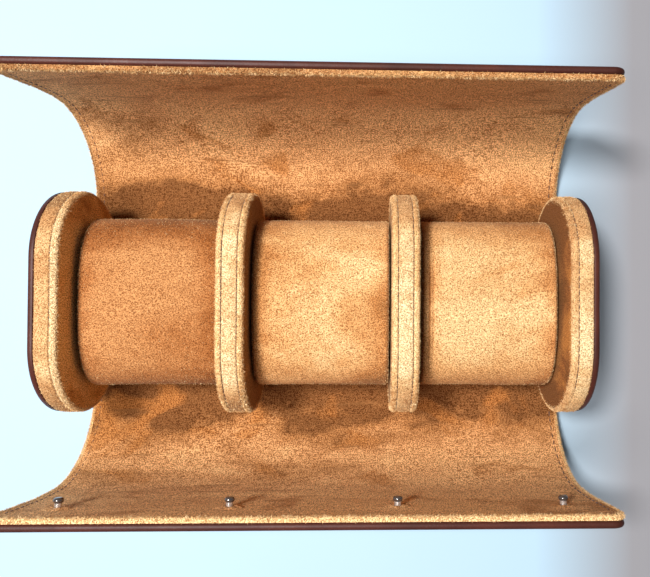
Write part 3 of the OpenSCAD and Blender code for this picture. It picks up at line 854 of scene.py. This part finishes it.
def oval_piece(name, sections, material, loop=False, fuzzy=True, painted_lightness=0.7, edge=None, inner=1.0):
    """A body through rings of the oval given as (X, inset); a loop is a band, otherwise its ends are filled.

    Its rim may have an edge of another suede. It is painted lighter, with painted shade towards its ends and in its
    inner part.
    """
    rings = [oval_ring(x, inset) for x, inset in sections]
    n = len(rings[0])
    points = np.vstack(rings)
    places = points.copy()
    insets = np.repeat([inset for _, inset in sections], n)
    if fuzzy:
        hollow = np.array([noise.noise((x * 60, y * 60, z * 60)) for x, y, z in places]) * 0.22 * MM
        hollow *= np.clip(1 - insets / (1.2 * MM), 0, 1)
        out = np.tile(stadium(0) - stadium(1 * MM), (len(rings), 1)) / MM
        points[:, 1:] += out * hollow[:, None]
    made = mesh_object(name, points, ring_faces(len(rings), n, loop), material, places)
    if fuzzy:
        spots = [(abs(v.co.y), v.co.z - CAP_MID_Z) for v in made.data.vertices]
        depth = np.array([CAP_H / 2 - math.hypot(max(0, y - (CAP_W - CAP_H) / 2), z) for y, z in spots])
        if edge:
            made.data.materials.append(MATERIALS[edge])
            for face in made.data.polygons:
                face.material_index = int(max(depth[i] for i in face.vertices) < 2.0 * MM)
        set_shares(made, "nap", np.clip(1.15 - depth / (1.6 * MM), 0, 1))
        # painted light over the piece, less of it as painted shade towards the oval's ends and deep in from the rim
        ends = 1.5 * np.clip((np.array(spots)[:, 0] - 22 * MM) / (18 * MM), 0, 1)
        set_shares(made, "painted_light_and_shade", painted_lightness - ends - inner * np.clip(depth / (4 * MM), 0, 1))
    return made


def quarter(x0, inset0, x1, inset1, steps=6, bulge_first=True):
    """A rounded corner between two (X, inset) points."""
    found = []
    for k in range(steps + 1):
        a = math.pi / 2 * k / steps
        u, v = (math.sin(a), 1 - math.cos(a)) if bulge_first else (1 - math.cos(a), math.sin(a))
        found.append((x0 + (x1 - x0) * u, inset0 + (inset1 - inset0) * v))
    return found


def seam_roll(seam, face, depth, width, steps=6):
    """A suede edge rolled down into a seam: from the seam's bottom up to the face, as (X, inset) points."""
    sign = 1 if face > seam else -1
    found = []
    for k in range(steps + 1):
        a = math.pi / 2 * k / steps
        found.append((seam + sign * width * (1 - math.cos(a)), depth * (1 - math.sin(a))))
    return found


def band_sections(low, high, depth=0.8 * MM, width=0.7 * MM, thick=1.2 * MM):
    """A suede band round an oval, its edges rolled down into the seams and its middle slightly full."""
    full = [(low + (high - low) * share, -0.18 * MM) for share in (0.3, 0.5, 0.7)]
    return ([(low, thick)] + seam_roll(low, high, depth, width) + full + seam_roll(high, low, depth, width)[::-1]
            + [(high, thick)])


def panel_sections(back, front, rim=1.3 * MM):
    """A padded face panel: rolled edge at the seam, full rounded rim, and a flat face."""
    sign = 1 if front > back else -1
    rings = [(back, 6 * MM)] + seam_roll(back, front, 0.7 * MM, 0.5 * MM)
    rings += [(back + (front - back) * 0.45, -0.1 * MM)] + quarter(front - sign * rim, 0, front, rim, 8)
    return rings + [(front, inset * MM) for inset in (2.2, 3.4, 5, 7.5, 11, 15, 20, 25)]


def disc_sections(inner, outer, rim=1.5 * MM, small=0.35 * MM):
    """The leather disc on an end cap's outside."""
    rings = [(inner, 8 * MM), (inner, small)] + quarter(inner, small, inner + small, 0, 3, bulge_first=False)
    rings += quarter(outer - rim, 0, outer, rim, 8)
    return rings + [(outer, inset * MM) for inset in (3, 5, 9, 15, 22, 26)]


def seam_line(x):
    """The closed line of a seam round an oval, a little sunk."""
    points = oval_ring(x, 0.32 * MM)
    return np.vstack([points, points[:1]])


def moved(sections, middle=0.0, sign=1):
    """Sections turned to one side of a place along the roll."""
    return [(middle + sign * x, inset) for x, inset in sections]


def build_cap(side):
    """One end cap: the leather disc outside, the suede band and the face panel inside."""
    mirror = 1 if side == "right" else -1
    outer = WRAP_W / 2
    leather_in = outer - CAP_LEATHER_T
    band_in = leather_in - CAP_BAND_W
    panel_in = band_in - CAP_PANEL_T
    # painted light and shade by side: the left cap's face gets a lighter suede and more painted light, its band less
    # than the right one's
    look, band_painted_lightness, face_painted_lightness = ("left_face", -0.5, 1.8) if side == "left" else ("face", 0.6, 0.1)
    sections = moved(disc_sections(leather_in, outer), sign=mirror)
    disc = oval_piece(f"{side}_cap_disc", sections, "leather", fuzzy=False)
    sections = moved(band_sections(band_in, leather_in), sign=mirror)
    band = oval_piece(f"{side}_cap_suede", sections, "band", loop=True, painted_lightness=band_painted_lightness)
    sections = moved(panel_sections(band_in, panel_in), sign=mirror)
    panel = oval_piece(f"{side}_cap_face", sections, look, painted_lightness=face_painted_lightness, edge="band")
    seam = stitch_rows(f"{side}_cap_stitches", [seam_line(mirror * band_in)], spacing=2.6, length=2.5, thickness=0.5)
    parts = ((disc, "leather", "leather"), (band, "band", "suede_edge"), (panel, "panel", "suede_face"))
    for piece, node, slot in parts:
        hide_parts(f"{side}_cap_{node}")
    for piece in (disc, band, panel, seam, fibres_on(band, 2.5, 0.5, seed=21), fibres_on(panel, 8, 0.65, seed=22)):
        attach(piece, "body")
    return [panel]


def build_divider(side):
    """One divider: a suede band and a face panel on each side."""
    centre = DIVIDER_X * (1 if side == "right" else -1)
    half = DIVIDER_BAND_W / 2
    band = oval_piece(f"{side}_divider_suede", moved(band_sections(-half, half), centre), "band", loop=True)
    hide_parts(f"{side}_divider_band")
    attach(band, "body")
    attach(fibres_on(band, 2.5, 0.5, seed=31), "body")
    panels = []
    for face, sign in (("left", -1), ("right", 1)):
        sections = moved(panel_sections(half, half + DIVIDER_PANEL_T), centre, sign)
        panel = oval_piece(f"{side}_divider_{face}_face", sections, "divider_face", inner=2.6)
        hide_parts(f"{side}_divider_{face}_panel")
        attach(panel, "body")
        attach(fibres_on(panel, 9, 0.65, seed=32), "body")
        panels.append(panel)
    lines = [seam_line(centre - half), seam_line(centre + half)]
    seams = stitch_rows(f"{side}_divider_stitches", lines, spacing=2.3, length=2.4, thickness=0.44)
    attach(seams, "body")
    return panels


# ---- pillows


PILLOW_SIDES = 120  # points in a ring of a pillow
SQUARE = 2 / 2.7  # a pillow's section is an oval with this power: 1 is round, and less is squarer


def pillow_ring(x, inset):
    """A squarish oval ring of a pillow, set in from its outline."""
    ring = []
    for k in range(PILLOW_SIDES):
        a = 2 * math.pi * k / PILLOW_SIDES
        c, s = math.cos(a), math.sin(a)
        ring.append((x, (PILLOW_W / 2 - inset) * math.copysign(abs(c) ** SQUARE, c),
                     (PILLOW_H / 2 - inset) * math.copysign(abs(s) ** SQUARE, s)))
    return np.array(ring)


def pillow_shell():
    """The sewn cover before it is filled: a sleeve with a rolled seam at each end and the two end pieces."""
    half, seam, start = PILLOW_L / 2 - 0.1 * MM, 1.5 * MM, -0.1 * MM
    end = [(half, inset * MM) for inset in (20, 17.5, 15, 12.5, 10, 7.5, 5.5, 4, 2.8)]
    end += [(half - seam * (1 - math.cos(a)), start + seam * (1 - math.sin(a)))
            for a in np.linspace(0, math.pi / 2, 7)]
    middle = [(x, start) for x in np.linspace(half - seam, -half + seam, 36)[1:-1]]
    sections = end + middle + [(-x, inset) for x, inset in end[::-1]]
    rings = [pillow_ring(x, inset) for x, inset in sections]
    return np.vstack(rings), ring_faces(len(rings), PILLOW_SIDES)


def closer_rings(points, place, reach=3 * MM, parts=5):
    """More rings of points round a pillow near a place along it, so that a crease there can be narrow."""
    rings = points.reshape(-1, PILLOW_SIDES, 3)
    made = [rings[0]]
    for a, b in zip(rings, rings[1:]):
        if abs((a[:, 0].mean() + b[:, 0].mean()) / 2 - place) < reach:
            made += [a + (b - a) * k / parts for k in range(1, parts)]
        made.append(b)
    return np.vstack(made), ring_faces(len(made), PILLOW_SIDES)


FILLING_FRAMES = 20
MOST_SWELLING = 1.2 * MM  # how far the filling may move the cover
MOST_AT_ENDS = 0.25 * MM  # and how far along the roll, so that it stays between its neighbours


def filled_pillow():
    """The cover filled with foam: a cloth simulation with its end seams held and its movement capped."""
    points, faces = pillow_shell()
    cover = mesh_object("pillow_being_filled", points, faces, "pillow")
    start = np.array([v.co for v in cover.data.vertices])
    held = cover.vertex_groups.new(name="seams")
    seam = np.abs(np.abs(start[:, 0]) - (PILLOW_L / 2 - 0.7 * MM)) < 0.7 * MM
    held.add([int(i) for i in np.nonzero(seam)[0]], 1.0, "REPLACE")
    cloth = cover.modifiers.new("filling", "CLOTH").settings
    cloth.quality = 6
    cloth.mass = 0.2
    cloth.tension_stiffness = cloth.compression_stiffness = 25
    cloth.bending_stiffness = 2.0
    cloth.use_pressure = True
    cloth.uniform_pressure_force = 5.0
    cloth.vertex_group_mass = "seams"
    cloth.effector_weights.gravity = 0
    for frame_number in range(1, FILLING_FRAMES + 1):
        scene.frame_set(frame_number)
    ready = cover.evaluated_get(bpy.context.evaluated_depsgraph_get())
    swelling = np.array([v.co for v in ready.data.vertices]) - start
    scene.frame_set(1)
    far = np.linalg.norm(swelling, axis=1, keepdims=True)
    swelling *= np.minimum(1, MOST_SWELLING / np.maximum(far, 1e-9))
    swelling[:, 0] = np.clip(swelling[:, 0], -MOST_AT_ENDS, MOST_AT_ENDS)
    faces = [tuple(face.vertices) for face in cover.data.polygons]
    bpy.data.objects.remove(cover)
    return start + swelling, faces


def creased(points, place):
    """How deep a crease round a pillow is at each point: two lines side by side that fade out sideways."""
    lines = [np.exp(-(((points[:, 0] - place - shift * MM) / (0.45 * MM)) ** 2)) for shift in (-0.6, 0.7)]
    return (lines[0] + 0.6 * lines[1]) * np.exp(-((points[:, 1] / (20 * MM)) ** 4))


def build_pillow(bay, filled, look, crease=None, seed=0.0):
    """One pillow from the filled cover, with its own slight hollows and, where given, a crease round it.

    The crease is a place along the pillow. The seed shifts the hollows and the suede's pattern.
    """
    points, faces = filled[0].copy(), filled[1]
    if crease is not None:
        points, faces = closer_rings(points, crease)
    centre = np.array([PILLOW_X[bay], 0, WRAP_T + PILLOW_GAP + PILLOW_H / 2])
    out = points.copy()
    out[:, 0] = 0
    out /= np.maximum(np.linalg.norm(out, axis=1, keepdims=True), 1e-9)
    hollow = np.array([noise.noise((x * 40, y * 40 + seed, z * 40)) for x, y, z in points]) * 0.35 * MM
    if crease is not None:
        hollow -= 0.8 * MM * creased(points, crease)
    sleeve = np.clip((PILLOW_L / 2 - np.abs(points[:, 0])) / (1.5 * MM), 0, 1)
    points += out * (hollow * sleeve)[:, None]
    points[:, 2] = np.maximum(points[:, 2], -PILLOW_H / 2)
    cover = mesh_object(f"{bay}_pillow_suede", points + centre, faces, look, points + centre + (0, seed, 0))
    edge = np.array([PILLOW_L / 2 - abs(v.co.x - centre[0]) for v in cover.data.vertices])
    set_shares(cover, "nap", np.clip(1 - edge / (2.5 * MM), 0.10, 1) * (edge > 0.1 * MM))
    out_y = np.array([abs(v.co.y) for v in cover.data.vertices]) / (PILLOW_W / 2)
    low = np.array([centre[2] - v.co.z for v in cover.data.vertices]) / (PILLOW_H / 2)
    # painted light on the middle of the pillow away from its ends and sides, painted shade towards its bottom, at
    # its ends and in the crease
    middle = np.clip(1 - (edge < 9 * MM) * (1 - edge / (9 * MM)), 0, 1) * np.clip((0.98 - out_y) / 0.45, 0, 1)
    painted_lightness = 1.25 * middle - 0.75 - 1.2 * np.clip(low, 0, 1) - 2.0 * np.clip(1 - edge / (1.1 * MM), 0, 1)
    if crease is not None:
        painted_lightness -= 1.2 * creased(np.array([v.co for v in cover.data.vertices]) - centre, crease)
    set_shares(cover, "painted_light_and_shade", painted_lightness)
    fibres = fibres_on(cover, 6, 0.45, seed=41)
    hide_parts(f"{bay}_pillow_cover")
    for piece in (cover, fibres):
        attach(piece, f"{bay}_pillow")


# ---- put it together

lines = {side: build_flap(side) for side in FLAPS}
for side in ("left", "right"):
    for panel in build_cap(side) + build_divider(side):
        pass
filled = filled_pillow()
build_pillow("left", filled, "pillow_dark", seed=0.3)
build_pillow("middle", filled, "pillow", seed=0.7)
build_pillow("right", filled, "pillow", crease=-22.3 * MM, seed=1.1)
build_collars(lines["front"])

for name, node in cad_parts.items():
    if name in ("ball_studs", "stud_plates", "snap_sockets"):
        look = "stud_steel" if name == "ball_studs" else "steel"
    elif name.endswith(("_board", "_core")):
        look = "board"
    else:
        continue
    node.data.materials.clear()
    node.data.materials.append(MATERIALS[look])

# ---- floor, light and camera

# the floor's darker grey right side is painted shade
FLOOR_LEFT = (0.42, 0.575, 0.70)
FLOOR_RIGHT_PAINTED_SHADE = (0.285, 0.28, 0.30)
FLOOR_CHANGE = (0.095, 0.140)  # between these places along X the left colour turns to the right one


def build_floor():
    """A pale paper floor that turns darker and greyer towards its right side: painted shade."""
    material, tree, shader = new_material("pale paper floor", Roughness=0.8, Specular_IOR_Level=0.15)
    place = object_place(tree)
    cloud = noise_at(tree, place, 9, 2, 0.5)
    across = add_node(tree, "ShaderNodeSeparateXYZ", {0: place}).outputs["X"]
    right = remap(tree, across, *FLOOR_CHANGE, 0.0, 1.0)
    pale = ramp(tree, cloud, [(0.3, FLOOR_LEFT), (0.7, shaded(FLOOR_LEFT, 1.02))])
    tree.links.new(blend_colours(tree, right, pale, FLOOR_RIGHT_PAINTED_SHADE), shader.inputs["Base Color"])
    bpy.ops.mesh.primitive_plane_add(size=4, location=(0, 0, -0.0002))
    floor = bpy.context.object
    floor.name = "floor"
    floor.data.materials.append(material)


def add_light(name, place, size, power, colour):
    """A round lamp that shines on the middle of the case."""
    data = bpy.data.lights.new(name, "AREA")
    data.shape, data.size, data.energy, data.color = "DISK", size, power, colour
    lamp = add_object(name, data)
    lamp.location = place
    lamp.rotation_euler = (Vector((0, 0, 0.03)) - Vector(place)).to_track_quat("-Z", "Y").to_euler()


build_floor()
add_light("key", (-0.31, 0.17, 0.86), 0.17, 10.2, (1, 0.99, 0.97))
add_light("fill", (-0.27, -0.14, 0.92), 0.34, 6.0, (1, 0.98, 0.96))
world = bpy.data.worlds.new("studio")
scene.world = world
world.use_nodes = True
background = world.node_tree.nodes["Background"].inputs
background["Color"].default_value = (0.93, 0.97, 1.0, 1)
background["Strength"].default_value = 0.10

# the photo's camera, in the photo's pixels: its width and middle, the focal length, and the point of
# the picture that lies straight in front of the lens
PHOTO_W = 650
PHOTO_MIDDLE = (325, 288.5)
FOCAL = 602.5
STRAIGHT_AHEAD = (389.3, 283.1)
SENSOR_W = 36
lens = bpy.data.cameras.new("camera")
lens.sensor_width = SENSOR_W
lens.lens = FOCAL / PHOTO_W * SENSOR_W
lens.shift_x = (PHOTO_MIDDLE[0] - STRAIGHT_AHEAD[0]) / PHOTO_W
lens.shift_y = (STRAIGHT_AHEAD[1] - PHOTO_MIDDLE[1]) / PHOTO_W
lens.clip_start = 0.01
camera = add_object("camera", lens)
camera.location = (18.70 * MM, 4.70 * MM, 274.6 * MM)
camera.rotation_euler = Euler([math.radians(a) for a in (0.76, -1.82, 0.34)], "XYZ")
scene.camera = camera

scene.view_settings.view_transform = "Standard"
